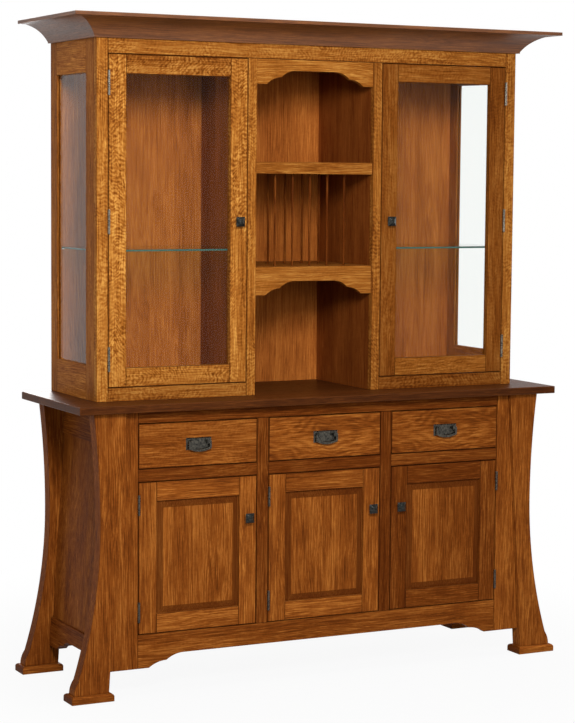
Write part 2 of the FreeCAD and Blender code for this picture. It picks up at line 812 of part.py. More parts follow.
# Sides of the hutch: four grooved members round a tall pane
def make_hutch_side(side):
    x = mirrored(("hutch_inside", "hutch_half"), side)
    label = f"hutch_side_{side}"
    front = ("hutch_frame_back", "side_stile_back")
    rear = ("side_stile_front", "top_back")
    pane_y = (front[1], rear[0])
    pane_z = ("side_glass_floor", "side_glass_top")
    outer = "hutch_half - side_glass_setback"
    pane_x = mirrored((f"{outer} - side_glass_thick", outer), side)
    groove_y = widened(pane_y, "groove_depth + groove_clearance")
    groove_z = widened(pane_z, "groove_depth + groove_clearance")
    whole = ("base_height", "hutch_head")
    stiles = [
        board(f"{label}_front_stile", x, front, whole),
        board(f"{label}_rear_stile", x, rear, whole),
    ]
    rails = []
    for name, span in (("upper_rail", (pane_z[1], whole[1])), ("lower_rail", (whole[0], pane_z[0]))):
        core = board(f"{label}_{name}", x, pane_y, span)
        tenons = board(f"{label}_{name}_tenons", pane_x, widened(pane_y, "groove_depth"), span)
        rails.append((core, tenons))
    stile_groove = board(f"{label}_stile_groove", pane_x, groove_y, widened(whole, "overrun"))
    rail_groove = board(f"{label}_rail_groove", pane_x, groove_y, groove_z)
    grooved_frame(label, stiles, rails, stile_groove, rail_groove)
    return board(f"{label}_pane", pane_x, widened(pane_y, "groove_depth"), widened(pane_z, "groove_depth"))


# Face frame of the hutch: the centre bay has no lower rail
def make_hutch_face_frame():
    y = ("hutch_face", "hutch_frame_back")
    whole = ("base_height", "hutch_head")
    pieces = [board("hutch_top_rail", ("-(bay_out)", "bay_out"), y, ("hutch_door_top", "hutch_head"))]
    for side in ("left", "right"):
        pieces.append(board(f"hutch_stile_{side}", mirrored(("bay_out", "hutch_half"), side), y, whole))
        x = mirrored(("centre_half", "bay_in"), side)
        pieces.append(board(f"hutch_centre_stile_{side}", x, y, ("base_height", "hutch_door_top")))
        x = mirrored(("bay_in", "bay_out"), side)
        pieces.append(board(f"hutch_bottom_rail_{side}", x, y, ("base_height", "hutch_door_floor")))
    group("hutch_face_frame", pieces)


# Back, roof, partitions and bay floors of the hutch
def make_hutch_carcase():
    inside = ("-(hutch_inside)", "hutch_inside")
    depth = ("hutch_frame_back", "hutch_back_front")
    keep(board("hutch_back", inside, ("hutch_back_front", "top_back"), ("base_height", "hutch_head")))
    roof = ("hutch_head - hutch_roof_drop - hutch_board_thick", "hutch_head - hutch_roof_drop")
    keep(board("hutch_roof", inside, depth, roof))
    partitions = []
    floors = []
    for side in ("left", "right"):
        x = mirrored(("centre_half", "partition_face"), side)
        partitions.append(board(f"hutch_partition_{side}", x, depth, ("base_height", roof[0])))
        x = mirrored(("partition_face", "hutch_inside"), side)
        z = ("hutch_door_floor - hutch_board_thick", "hutch_door_floor")
        floors.append(board(f"hutch_bay_floor_{side}", x, depth, z))
    group("hutch_partitions", partitions)
    group("hutch_bay_floors", floors)


# Centre bay: two shelves, two scroll-cut valances and the two dowel rows of the plate rack
def make_valance(label, top, flat):
    half = mm("centre_half")
    low = mm(f"{top} - {flat} - 2 * valance_cove_rise")
    insets = (mm("valance_end_flat"), mm("valance_end_flat"))
    edge = scroll(-half, half, low, insets, mm("valance_cove_span"), mm("valance_cove_rise"))
    steps = edge + [(half, mm(top)), (-half, mm(top))]
    front = "hutch_face + valance_setback"
    return padded(label, "XZ_Plane", steps, (front, f"{front} + valance_thick"))


def make_centre_bay():
    across = ("-(centre_half)", "centre_half")
    lip = ("hutch_face + valance_setback", "hutch_face + valance_setback + valance_thick")
    depth = (lip[1], "hutch_back_front")
    upper = ("upper_shelf_height - shelf_thick", "upper_shelf_height")
    lower = ("lower_shelf_height - shelf_thick", "lower_shelf_height")
    group("centre_shelves", [
        board("upper_centre_shelf", across, depth, upper),
        board("upper_shelf_lip", across, lip, ("upper_shelf_height - shelf_lip_height", upper[1])),
        board("lower_centre_shelf", across, depth, lower),
    ])
    group("centre_valances", [
        make_valance("upper_valance", "hutch_door_top", "valance_flat"),
        make_valance("lower_valance", "lower_shelf_height", "lower_valance_flat"),
    ])
    dowels = []
    for row, setback in (("front", "dowel_front_setback"), ("rear", "dowel_rear_setback")):
        for place in range(DOWELS_PER_ROW):
            steps_out = place - (DOWELS_PER_ROW - 1) / 2
            dowel = rod(f"plate_dowel_{row}_{place + 1}", "dowel_radius", f"{upper[0]} - lower_shelf_height", "z")
            x = f"{steps_out} * dowel_pitch"
            dowels.append(put(dowel, x, f"hutch_face + {setback}", "lower_shelf_height"))
    group("plate_rack_dowels", dowels)


# A glass shelf in each glazed bay, on four clips
def make_glass_shelves():
    shelves = []
    clips = []
    low = "glass_shelf_height - glass_shelf_thick"
    y = ("hutch_frame_back + glass_shelf_setback", "hutch_back_front - glass_shelf_setback")
    ends = {
        "inner": ("partition_face", "partition_face + clip_length"),
        "outer": ("hutch_inside - clip_length", "hutch_inside"),
    }
    clip_starts = {
        "front": "side_stile_back - 2 * clip_width",
        "rear": "side_stile_front + clip_width",
    }
    for side in ("left", "right"):
        x = ("partition_face + glass_shelf_clearance", "hutch_inside - glass_shelf_clearance")
        shelves.append(board(f"glass_shelf_{side}", mirrored(x, side), y, (low, "glass_shelf_height")))
        for end, x in ends.items():
            for place, start in clip_starts.items():
                clips.append(board(
                    f"shelf_clip_{side}_{end}_{place}", mirrored(x, side),
                    (start, f"{start} + clip_width"), (f"{low} - clip_thick", low),
                ))
    group("glass_shelves", shelves)
    group("shelf_clips", clips)


# Cove cornice, mitred at the front corners
def cornice_profile(inner, way):
    """Draw the section outwards from the case's face."""
    floor = mm("cornice_floor")
    head = floor + mm("cornice_height")
    lip = mm("cornice_lip")
    start = (lip, floor + mm("cornice_lip_height"))
    end = (lip + mm("cornice_cove_reach"), start[1] + mm("cornice_cove_rise"))
    chord = math.hypot(end[0] - start[0], end[1] - start[1])
    lift = mm("cornice_cove_sag") / chord
    middle = (
        (start[0] + end[0]) / 2 - lift * (end[1] - start[1]),
        (start[1] + end[1]) / 2 + lift * (end[0] - start[0]),
    )
    reach = mm("cornice_reach")
    steps = [(0, floor), (lip, floor), start, (middle, end), (reach, end[1]), (reach, head), (0, head)]
    turned = []
    for step in steps:
        if isinstance(step[0], tuple):
            turned.append(tuple((inner + way * out, z) for out, z in step))
        else:
            turned.append((inner + way * step[0], step[1]))
    return turned


def make_cornice():
    half = mm("hutch_half")
    reach = mm("cornice_reach")
    face = mm("hutch_face")
    back = mm("top_back")
    tall = ("cornice_floor", "cornice_floor + cornice_height")
    across = ("-(hutch_half + cornice_reach)", "hutch_half + cornice_reach")
    run = padded("cornice_front_run", "YZ_Plane", cornice_profile(face, -1), across)
    plan = [(-half - reach, face - reach), (half + reach, face - reach), (half, face), (-half, face)]
    pieces = [common("cornice_front", run, padded("cornice_front_plan", "XY_Plane", plan, tall))]
    for side in ("left", "right"):
        way = sign(side)
        profile = cornice_profile(way * half, way)
        run = padded(f"cornice_{side}_run", "XZ_Plane", profile, ("hutch_face - cornice_reach", "top_back"))
        plan = [
            (way * (half + reach), face - reach), (way * (half + reach), back),
            (way * half, back), (way * half, face),
        ]
        shape = padded(f"cornice_{side}_plan", "XY_Plane", plan, tall)
        pieces.append(common(f"cornice_{side}", run, shape))
    group("cornice", pieces)


def write_nodes():
    """Check every object, then write each node to its own file."""
    doc.recompute()
    for item in doc.Objects:
        if "Invalid" in item.State or "Error" in item.State:
            raise RuntimeError(f"{item.Label} did not rebuild: {item.State}")
    for node in nodes:
        if node.Shape.isNull() or not node.Shape.isValid() or not node.Shape.Solids:
            raise RuntimeError(f"{node.Label} has no valid solid")
    os.makedirs("parts", exist_ok=True)
    for node in nodes:
        node.Shape.exportStep(f"parts/{node.Label}.step")
    print(len(nodes), "nodes,", sum(len(node.Shape.Solids) for node in nodes), "solids")


make_buffet_top()
for leg_end in ("front", "rear"):
    for leg_side in ("left", "right"):
        make_leg(leg_end, leg_side)
make_foot_pads()
make_base_face_frame()
for base_side in ("left", "right"):
    make_base_side(base_side)
make_base_back()
make_base_carcase()
for drawer_column in COLUMNS:
    make_drawer(drawer_column)
make_base_doors()
group("hutch_side_glass", [make_hutch_side(hutch_side) for hutch_side in ("left", "right")])
make_hutch_face_frame()
make_hutch_carcase()
make_centre_bay()
make_glass_shelves()
make_hutch_doors()
make_cornice()
write_nodes()
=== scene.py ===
import json
import math
import random
from dataclasses import dataclass

import bmesh
import bpy
from mathutils import Matrix, Vector

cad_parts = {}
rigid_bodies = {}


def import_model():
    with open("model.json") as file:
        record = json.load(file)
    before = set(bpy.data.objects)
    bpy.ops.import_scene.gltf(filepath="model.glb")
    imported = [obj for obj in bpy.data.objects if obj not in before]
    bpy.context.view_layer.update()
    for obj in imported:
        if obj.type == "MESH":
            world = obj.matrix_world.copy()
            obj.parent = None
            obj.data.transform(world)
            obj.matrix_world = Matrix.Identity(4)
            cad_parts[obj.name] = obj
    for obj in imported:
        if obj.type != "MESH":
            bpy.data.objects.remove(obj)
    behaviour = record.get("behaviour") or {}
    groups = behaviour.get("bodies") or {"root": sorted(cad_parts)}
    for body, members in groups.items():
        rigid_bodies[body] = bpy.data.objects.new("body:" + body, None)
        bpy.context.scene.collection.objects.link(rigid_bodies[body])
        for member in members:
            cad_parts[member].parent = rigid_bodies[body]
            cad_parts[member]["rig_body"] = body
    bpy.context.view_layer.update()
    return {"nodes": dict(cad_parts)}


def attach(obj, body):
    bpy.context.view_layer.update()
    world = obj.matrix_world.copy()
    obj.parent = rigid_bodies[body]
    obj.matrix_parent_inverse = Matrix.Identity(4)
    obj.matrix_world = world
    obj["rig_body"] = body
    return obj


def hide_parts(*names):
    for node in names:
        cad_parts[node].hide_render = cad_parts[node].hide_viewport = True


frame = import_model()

# Looks of a three-bay display hutch in stained quarter-sawn oak, in metres.
# X runs across the front, Y from the front (negative) to the back, Z up.

# Camera, as found from the edges of the photographed object
CAMERA_PLACE = (-3.1414, -6.1039, 1.6234)
CAMERA_YAW = 27.049
CAMERA_PITCH = -5.154
CAMERA_ROLL = 0.482
FOCAL_PIXELS = 2087.4
PICTURE_HEIGHT_PIXELS = 723
SENSOR = 36.0
VIEW_REACH = 100.0

# Eased edges, by what a piece is made of
WOOD_EASE = 0.0013
METAL_EASE = 0.0007
GLASS_EASE = 0.0005
EASE_STEPS = 2
SHARP_EDGE = math.radians(32)
ROUND_EDGE = math.radians(50)
FLAT_FACE = math.radians(0.5)

# Bevels of the panes: hidden rim in the groove, bevel beside it, and how much thinner the rim is
PANE_RIM = 0.009
PANE_BEVEL = 0.014
PANE_DROP = 0.0013

# How far the pattern of one board lies from the next one's, and how unlike their tones are
PATTERN_SPREAD = 40.0
TONE_SPREAD = 0.3

# Oak patterns: their scale per metre along the grain, across it and through the board
DRIFT = (1.3, 7.0, 7.0)
STREAK = (7.0, 360.0, 360.0)
BAND = (0.9, 26.0, 26.0)
BLOTCH = (5.0, 12.0, 12.0)
TICK = (20.0, 380.0, 380.0)
PORE = (42.0, 900.0, 900.0)
FLAKE_LEAN = (2.5, 11.0, 11.0)
FLAKE_WAVE = (18.0, 46.0, 46.0)
FLAKE_BREAK = (120.0, 75.0, 75.0)
FLAKE_PATCH = (6.0, 14.0, 14.0)
FLAME_WARP = (7.0, 14.0, 14.0)

# How far those patterns bend the lines, how far apart the lines lie, and how long the flame is drawn
DRIFT_REACH = 0.05
LEAN_REACH = 0.20
WAVE_REACH = 0.035
FLAME_REACH = 0.13
FLAKE_PERIOD = 0.013
FLAME_PERIOD = 0.016
FLAME_SHAPE = (0.22, 1.0, 1.0)

# Which part of a pattern shows as a tick, a pore or a patch of flakes
TICK_RANGE = (0.54, 0.72)
PORE_RANGE = (0.52, 0.70)
PATCH_RANGE = (0.34, 0.60)

# Flakes: strength of the stripes and of what breaks them, the span of both, and the least between patches
FLAKE_SHARPNESS = 0.50
FLAKE_BREAKS = 5.5
FLAKE_SPAN = 1.5
FAINT_PATCH = 0.2

# How much each pattern lightens or darkens the stain, its middle, and where its three colours lie
STREAK_WEIGHT = 1.5
BAND_WEIGHT = 0.5
BLOTCH_WEIGHT = 0.5
FLAKE_WEIGHT = 0.60
STAVE_WEIGHT = 0.5
MIDDLE_LEVEL = 0.46
STAIN_PLACES = (0.12, 0.5, 0.88)

# How dark the pores, the ends (on raised panels every bevel, partly as painted shade) and the painted shade
# on eased edges are
PORE_DARK = 0.4
END_DARK = 0.75
EDGE_PAINTED_SHADE = 0.5

# How the patterns change the sheen and the relief
BAND_ROUGH = 0.12
PORE_ROUGH = 0.15
STREAK_RELIEF = 0.4
PORE_DEPTH = 0.0003

# Stain colours from the dark to the light part of the grain
# The hutch stain is lighter and the base stain darker partly as their own colours, partly as painted light,
# the hutch being lit more than the base.
HUTCH_STAIN = ((0.145, 0.036, 0.0046), (0.385, 0.128, 0.0175), (0.640, 0.295, 0.0600))
SIDE_STAIN = ((0.120, 0.030, 0.0045), (0.300, 0.090, 0.0135), (0.500, 0.195, 0.0400))
BASE_STAIN = ((0.075, 0.016, 0.0026), (0.214, 0.054, 0.0070), (0.420, 0.143, 0.0235))
TOP_STAIN = ((0.035, 0.009, 0.0015), (0.080, 0.021, 0.0038), (0.150, 0.044, 0.0085))
# The cornice stain is lighter partly as its own colour, partly as painted light for its cove, which faces
# down.
CORNICE_STAIN = ((0.052, 0.015, 0.0030), (0.115, 0.034, 0.0075), (0.205, 0.068, 0.0160))
INSIDE_STAIN = ((0.170, 0.040, 0.0070), (0.340, 0.096, 0.0160), (0.500, 0.165, 0.0300))
MAPLE = ((0.520, 0.340, 0.170), (0.640, 0.450, 0.250), (0.720, 0.540, 0.330))

# Tints of the darkest and the lightest boards
DARK_BOARD = (0.52, 0.44, 0.42)
LIGHT_BOARD = (1.30, 1.38, 1.40)

# Metal colours: of the dark and the light mottle and, on bronze, of the worn edges; those of the pulls are
# light enough to be a painted highlight as well
PULL_COLOURS = ((0.028, 0.027, 0.024), (0.095, 0.086, 0.068), (0.46, 0.41, 0.32))
KNOB_COLOURS = ((0.014, 0.014, 0.012), (0.034, 0.034, 0.030), (0.07, 0.068, 0.06))
BASE_HINGE_COLOURS = ((0.040, 0.033, 0.026), (0.090, 0.074, 0.058), (0.18, 0.15, 0.12))
HUTCH_HINGE_COLOURS = ((0.075, 0.064, 0.050), (0.160, 0.138, 0.108), (0.28, 0.25, 0.20))
STEEL_COLOURS = ((0.42, 0.42, 0.43), (0.66, 0.66, 0.67))

# Scale of mottle and brushing, per metre
MOTTLE = (160.0, 160.0, 160.0)
BRUSHED = (60.0, 900.0, 900.0)

# Size of the hammer marks, and their depth
PULL_DIMPLE = 0.005
KNOB_DIMPLE = 0.012
HINGE_DIMPLE = 0.030
DIMPLE_DEPTH = 0.0008

# Glass: its tints, how clear the sawn edges of the shelves are, and its faint smears
PANE_TINT = (0.97, 0.985, 0.975)
SHELF_TINT = (0.90, 0.96, 0.93)
SHELF_EDGE_TINT = (0.07, 0.18, 0.15)
EDGE_CLEARNESS = 0.45
GLASS_IOR = 1.15
SMEAR = (7.0, 7.0, 4.0)

# Floor: half its side, its colour, and how far from the object its share of white grows to all of it
FLOOR_HALF = 4.0
FLOOR_COLOUR = (0.5, 0.5, 0.5, 1)
FLOOR_NEAR = 0.7
FLOOR_FAR = 1.9
FLOOR_WHITE_SHARE = 0.93
WHITE = (1, 1, 1, 1)

# Even light from all sides
WORLD_LEVEL = 0.16

# Lamps: place, target, side length and power in watts
LAMPS = {
    "key": ((-1.6, -3.6, 2.8), (0.0, -0.1, 1.2), 0.9, 136.0),
    "front": ((-0.8, -5.0, 2.0), (0.0, -0.1, 1.2), 1.0, 40.0),
    "right": ((4.2, -0.4, 2.2), (0.0, 0.0, 1.2), 1.6, 75.0),
    "left": ((-4.2, 0.4, 2.0), (0.0, 0.0, 1.2), 1.6, 22.0),
    "back": ((0.8, 4.5, 2.4), (0.0, 0.0, 1.1), 1.8, 120.0),
    "top": ((0.0, -0.6, 4.6), (0.0, -0.2, 0.9), 1.8, 60.0),
}


# Shader building
def node(tree, kind, inputs=None, **settings):
    """Add a shader node, set its properties, and set or link its inputs."""
    item = tree.nodes.new(f"ShaderNode{kind}")
    for name, value in settings.items():
        setattr(item, name, value)
    for key, value in (inputs or {}).items():
        socket = item.inputs[key]
        if isinstance(value, bpy.types.NodeSocket):
            tree.links.new(value, socket)
        else:
            socket.default_value = value
    return item


def calc(tree, operation, first, second=0.0, third=0.0):
    return node(tree, "Math", {0: first, 1: second, 2: third}, operation=operation).outputs[0]


def swing(tree, pattern, size):
    """Turn a pattern around one half into a swing of the given size around zero."""
    return calc(tree, "MULTIPLY", calc(tree, "SUBTRACT", pattern, 0.5), size)


def stretch(tree, vector, scale):
    return node(tree, "VectorMath", {0: vector, 1: scale}, operation="MULTIPLY").outputs[0]


def shift(tree, vector, x=0.0, y=0.0, z=0.0):
    offset = node(tree, "CombineXYZ", {0: x, 1: y, 2: z}).outputs[0]
    return node(tree, "VectorMath", {0: vector, 1: offset}, operation="ADD").outputs[0]


def noise(tree, vector, detail=2.0, roughness=0.5):
    inputs = {"Vector": vector, "Scale": 1.0, "Detail": detail, "Roughness": roughness}
    return node(tree, "TexNoise", inputs).outputs[0]


def between(tree, value, low, high, to_low=0.0, to_high=1.0):
    """Map a range to another one, smoothly and held at its ends."""
    inputs = {"Value": value, "From Min": low, "From Max": high, "To Min": to_low, "To Max": to_high}
    return node(tree, "MapRange", inputs, interpolation_type="SMOOTHSTEP").outputs[0]


def blend(tree, share, first, second, mode="MIX"):
    item = node(tree, "Mix", {0: share, 6: first, 7: second}, data_type="RGBA", blend_type=mode)
    return item.outputs[2]


def attribute(tree, name, output="Fac"):
    return node(tree, "Attribute", attribute_name=name).outputs[output]


def opaque(colour):
    return (*colour, 1.0)


def new_material(name):
    material = bpy.data.materials.new(name)
    material.use_nodes = True
    tree = material.node_tree
    tree.nodes.clear()
    return material, tree


def finish_material(tree, shader):
    node(tree, "OutputMaterial", {"Surface": shader})


# Stained oak
def glued_up(tree, grain, tone, stave):
    """Shift pattern and tone from stave to stave of a glued-up board."""
    across = node(tree, "SeparateXYZ", {0: grain}).outputs["Y"]
    place = calc(tree, "FLOOR", calc(tree, "DIVIDE", across, stave))
    draw = node(tree, "TexWhiteNoise", {"W": place}, noise_dimensions="1D").outputs["Value"]
    grain = shift(tree, grain, x=calc(tree, "MULTIPLY", draw, PATTERN_SPREAD))
    return grain, calc(tree, "ADD", tone, swing(tree, draw, STAVE_WEIGHT))


def ray_stripes(tree, grain):
    """Wavy stripes across the grain, broken into flakes."""
    lean = swing(tree, noise(tree, stretch(tree, grain, FLAKE_LEAN), detail=1.0), LEAN_REACH)
    wave = swing(tree, noise(tree, stretch(tree, grain, FLAKE_WAVE), detail=1.0), WAVE_REACH)
    along = node(tree, "SeparateXYZ", {0: grain}).outputs["X"]
    along = calc(tree, "ADD", along, calc(tree, "ADD", lean, wave))
    stripe = calc(tree, "SINE", calc(tree, "MULTIPLY", along, 2 * math.pi / FLAKE_PERIOD))
    broken = noise(tree, stretch(tree, grain, FLAKE_BREAK), detail=2.0, roughness=0.6)
    stripe = calc(tree, "MULTIPLY_ADD", stripe, FLAKE_SHARPNESS, swing(tree, broken, FLAKE_BREAKS))
    stripe = between(tree, stripe, -FLAKE_SPAN, FLAKE_SPAN)
    patch = between(tree, noise(tree, stretch(tree, grain, FLAKE_PATCH)), *PATCH_RANGE, FAINT_PATCH, 1.0)
    return calc(tree, "MULTIPLY", calc(tree, "SUBTRACT", stripe, 0.5), patch)


def flame_lines(tree, grain):
    """Nested arches of a flat-sawn board, drawn round the middle of its width."""
    bend = swing(tree, noise(tree, stretch(tree, grain, FLAME_WARP)), FLAME_REACH)
    warped = stretch(tree, shift(tree, grain, y=bend), FLAME_SHAPE)
    distance = node(tree, "VectorMath", {0: warped}, operation="LENGTH").outputs["Value"]
    ring = calc(tree, "SINE", calc(tree, "MULTIPLY", distance, 2 * math.pi / FLAME_PERIOD))
    return calc(tree, "MULTIPLY", ring, 0.5)


def grain_patterns(tree, grain):
    """Give the streaks, bands, blotches, light ticks and dark pores of a board."""
    drift = swing(tree, noise(tree, stretch(tree, grain, DRIFT)), DRIFT_REACH)
    line = shift(tree, grain, y=drift, z=drift)
    streak = noise(tree, stretch(tree, line, STREAK), detail=3.0, roughness=0.65)
    band = noise(tree, stretch(tree, line, BAND), detail=2.0)
    blotch = noise(tree, stretch(tree, grain, BLOTCH), detail=3.0)
    tick = between(tree, noise(tree, stretch(tree, line, TICK), detail=1.0), *TICK_RANGE)
    pore = between(tree, noise(tree, stretch(tree, line, PORE), detail=1.0), *PORE_RANGE)
    return streak, band, blotch, tick, pore


def stained(tree, level, stain):
    """Colour a level from the dark to the light part of a stain."""
    ramp = node(tree, "ValToRGB", {"Fac": calc(tree, "ADD", level, MIDDLE_LEVEL)})
    stops = ramp.color_ramp.elements
    stops[0].position, stops[1].position = STAIN_PLACES[0], STAIN_PLACES[2]
    stops[0].color, stops[1].color = opaque(stain[0]), opaque(stain[2])
    stops.new(STAIN_PLACES[1]).color = opaque(stain[1])
    return ramp.outputs["Color"]


def board_colour(tree, colour, tone, pore, stain, rim):
    """Add the pores, the tone of the board, its darker ends and the painted shade on its eased edges, which
    a light rim colour turns into a painted highlight.
    """
    colour = blend(tree, calc(tree, "MULTIPLY", pore, PORE_DARK), colour, opaque(stain[0]))
    tint = blend(tree, between(tree, tone, -1.0, 1.0), opaque(DARK_BOARD), opaque(LIGHT_BOARD))
    colour = blend(tree, 1.0, colour, tint, "MULTIPLY")
    end = between(tree, attribute(tree, "end"), 0.0, 0.4, 0.0, END_DARK)
    colour = blend(tree, end, colour, opaque(stain[0]))
    # Eased wood edges take a dark colour as painted shade, deepening the gaps between parts; the top and
    # cornice give a light rim colour instead, a painted highlight.
    edge_wear_and_painted_light = rim or [EDGE_PAINTED_SHADE * channel for channel in stain[0]]
    return blend(tree, attribute(tree, "edge"), colour, opaque(edge_wear_and_painted_light))


def make_oak(name, stain, gloss=0.015, roughness=0.40, stave=0.0, flame=0.0, ticks=0.22, rim=None):
    material, tree = new_material(name)
    grain = attribute(tree, "grain", "Vector")
    tone = attribute(tree, "tone")
    if stave:
        grain, tone = glued_up(tree, grain, tone, stave)
    streak, band, blotch, tick, pore = grain_patterns(tree, grain)

    level = calc(tree, "ADD", swing(tree, streak, STREAK_WEIGHT), swing(tree, band, BAND_WEIGHT))
    level = calc(tree, "ADD", level, swing(tree, blotch, BLOTCH_WEIGHT))
    level = calc(tree, "MULTIPLY_ADD", tick, ticks, level)
    flakes = calc(tree, "MULTIPLY", ray_stripes(tree, grain), attribute(tree, "flake"))
    level = calc(tree, "MULTIPLY_ADD", flakes, FLAKE_WEIGHT, level)
    if flame:
        level = calc(tree, "MULTIPLY_ADD", flame_lines(tree, grain), flame, level)
    colour = board_colour(tree, stained(tree, level, stain), tone, pore, stain, rim)

    rough = calc(tree, "MULTIPLY_ADD", band, BAND_ROUGH, roughness - BAND_ROUGH / 2)
    rough = calc(tree, "MULTIPLY_ADD", pore, PORE_ROUGH, rough)
    height = calc(tree, "SUBTRACT", calc(tree, "MULTIPLY", streak, STREAK_RELIEF), pore)
    bump = node(tree, "Bump", {"Height": height, "Strength": 0.18, "Distance": PORE_DEPTH}).outputs[0]
    shader = node(tree, "BsdfPrincipled", {
        "Base Color": colour, "Roughness": rough, "Normal": bump, "Specular IOR Level": gloss,
    })
    finish_material(tree, shader.outputs[0])
    return material


# Oil-rubbed bronze with hammer marks, and steel
def make_bronze(name, colours, dimple_size):
    dark, light, wear_and_highlight = colours
    material, tree = new_material(name)
    place = node(tree, "TexCoord").outputs["Object"]
    mottle = noise(tree, stretch(tree, place, MOTTLE), detail=4.0, roughness=0.65)
    colour = blend(tree, between(tree, mottle, 0.35, 0.7), opaque(dark), opaque(light))
    # Worn edges; on the pulls their light colour also serves as a painted highlight.
    colour = blend(tree, calc(tree, "MULTIPLY", attribute(tree, "edge"), 0.6), colour, opaque(wear_and_highlight))
    rough = between(tree, mottle, 0.3, 0.7, 0.22, 0.42)
    marks = node(tree, "TexVoronoi", {"Vector": place, "Scale": 1 / dimple_size}, feature="SMOOTH_F1")
    dimple = marks.outputs["Distance"]
    bump = node(tree, "Bump", {"Height": dimple, "Strength": 0.5, "Distance": DIMPLE_DEPTH}).outputs[0]
    shader = node(tree, "BsdfPrincipled", {
        "Base Color": colour, "Roughness": rough, "Normal": bump, "Metallic": 0.9,
    })
    finish_material(tree, shader.outputs[0])
    return material


def make_steel():
    material, tree = new_material("clip_steel")
    place = node(tree, "TexCoord").outputs["Object"]
    brushed = noise(tree, stretch(tree, place, BRUSHED), detail=3.0)
    colour = blend(tree, brushed, opaque(STEEL_COLOURS[0]), opaque(STEEL_COLOURS[1]))
    rough = between(tree, brushed, 0.3, 0.7, 0.25, 0.45)
    shader = node(tree, "BsdfPrincipled", {"Base Color": colour, "Roughness": rough, "Metallic": 1.0})
    finish_material(tree, shader.outputs[0])
    return material


# Clear glass that lets the lamps through
def make_glass(name, tint, edge_tint=None):
    material, tree = new_material(name)
    colour, clearness = opaque(tint), 1.0
    if edge_tint:
        colour = blend(tree, attribute(tree, "end"), opaque(tint), opaque(edge_tint))
        clearness = between(tree, attribute(tree, "end"), 0.0, 1.0, 1.0, EDGE_CLEARNESS)
    place = node(tree, "TexCoord").outputs["Object"]
    smear = noise(tree, stretch(tree, place, SMEAR), detail=3.0)
    rough = between(tree, smear, 0.4, 0.8, 0.0, 0.02)
    glass = node(tree, "BsdfPrincipled", {
        "Base Color": colour, "Roughness": rough, "Transmission Weight": clearness, "IOR": GLASS_IOR,
    })
    clear = node(tree, "BsdfTransparent", {"Color": opaque(tint)})
    path = node(tree, "LightPath")
    let_through = calc(tree, "MAXIMUM", path.outputs["Is Shadow Ray"], path.outputs["Is Diffuse Ray"])
    mixed = node(tree, "MixShader", {0: let_through, 1: glass.outputs[0], 2: clear.outputs[0]})
    finish_material(tree, mixed.outputs[0])
    return material


# Solids: each closed solid of a node is eased along its edges and gets its own grain
@dataclass(frozen=True)
class Look:
    """How the boards of a node look.

    Tones run from -1 (dark) to 1 (light), the flake, the edge share and the dark of the ends from 0 to 1;
    the edge share is painted shade on eased wood edges, a painted highlight on the top and cornice, and
    wear on bronze.
    """

    tone: float = 0.0
    # Painted shade on lying boards, whose flakes catch less light across the grain
    level_painted_shade: float = 0.0
    inner_tone: float = 0.0
    inner_reach: float = 0.0
    flake: float = 0.10
    edge_wear_and_painted_light: float = 0.35
    ends: float = 1.0
    upright: bool = False
    centred: bool = False
    raised: bool = False

    def tone_at(self, place, standing):
        """Boards within inner_reach of the middle have the inner tone; lying ones are darkened by a painted
        shade, for flakes that catch less light across the grain.
        """
        tone = self.inner_tone if abs(place.x) < self.inner_reach else self.tone
        return tone if standing else tone + self.level_painted_shade

    def end_share(self, normal, order):
        """How much of the end grain a face shows; the bevels of a raised panel count by their slope, so
        those along the grain get painted shade as well.
        """
        slope = math.hypot(normal[order[0]], normal[order[1]])
        return self.ends * (slope if self.raised else abs(normal[order[0]]))


def split_solids(mesh):
    """Split a node's triangles into its closed solids, which share edges of exactly two faces."""
    places = {}
    corners = [places.setdefault(tuple(round(c, 6) for c in v.co), len(places)) for v in mesh.vertices]
    points = list(places)
    faces = [tuple(corners[i] for i in polygon.vertices) for polygon in mesh.polygons]
    by_edge = {}
    for index, face in enumerate(faces):
        for first, second in zip(face, face[1:] + face[:1]):
            by_edge.setdefault(frozenset((first, second)), []).append(index)
    leader = list(range(len(faces)))

    def lead(index):
        while leader[index] != index:
            leader[index] = leader[leader[index]]
            index = leader[index]
        return index

    for members in by_edge.values():
        if len(members) == 2:
            leader[lead(members[0])] = lead(members[1])
    solids = {}
    for index, face in enumerate(faces):
        solids.setdefault(lead(index), []).append([Vector(points[i]) for i in face])
    return list(solids.values())


def eased_solid(triangles, width, sharp_edge):
    """Build one solid with flat faces and rounded edges; mark the roundings."""
    solid = bmesh.new()
    made = {}
    for triangle in triangles:
        corners = []
        for place in triangle:
            key = tuple(place)
            if key not in made:
                made[key] = solid.verts.new(place)
            corners.append(made[key])
        if len(set(corners)) == 3 and not solid.faces.get(corners):
            solid.faces.new(corners)
    bmesh.ops.recalc_face_normals(solid, faces=solid.faces)
    bmesh.ops.dissolve_limit(
        solid, angle_limit=FLAT_FACE, verts=solid.verts, edges=solid.edges, use_dissolve_boundaries=False,
    )
    mark = solid.faces.layers.int.new("edge_mark")
    sharp = [
        edge for edge in solid.edges
        if len(edge.link_faces) == 2 and edge.calc_face_angle(0.0) > sharp_edge and edge.is_convex
    ]
    if sharp:
        rounding = bmesh.ops.bevel(
            solid, geom=sharp, offset=width, offset_type="OFFSET", segments=EASE_STEPS,
            profile=0.5, affect="EDGES", clamp_overlap=True,
        )
        for face in rounding["faces"]:
            face[mark] = 1
    return solid


def span_of(places):
    """Give the lowest and highest corner of some places."""
    low = Vector(min(p[i] for p in places) for i in range(3))
    high = Vector(max(p[i] for p in places) for i in range(3))
    return low, high


def axes_of(size, upright):
    """Order the axes of a board: along its grain, across it, through its thickness."""
    order = sorted(range(3), key=lambda i: -size[i])
    if upright and order[0] != 2:
        order.remove(2)
        order.insert(0, 2)
    return order


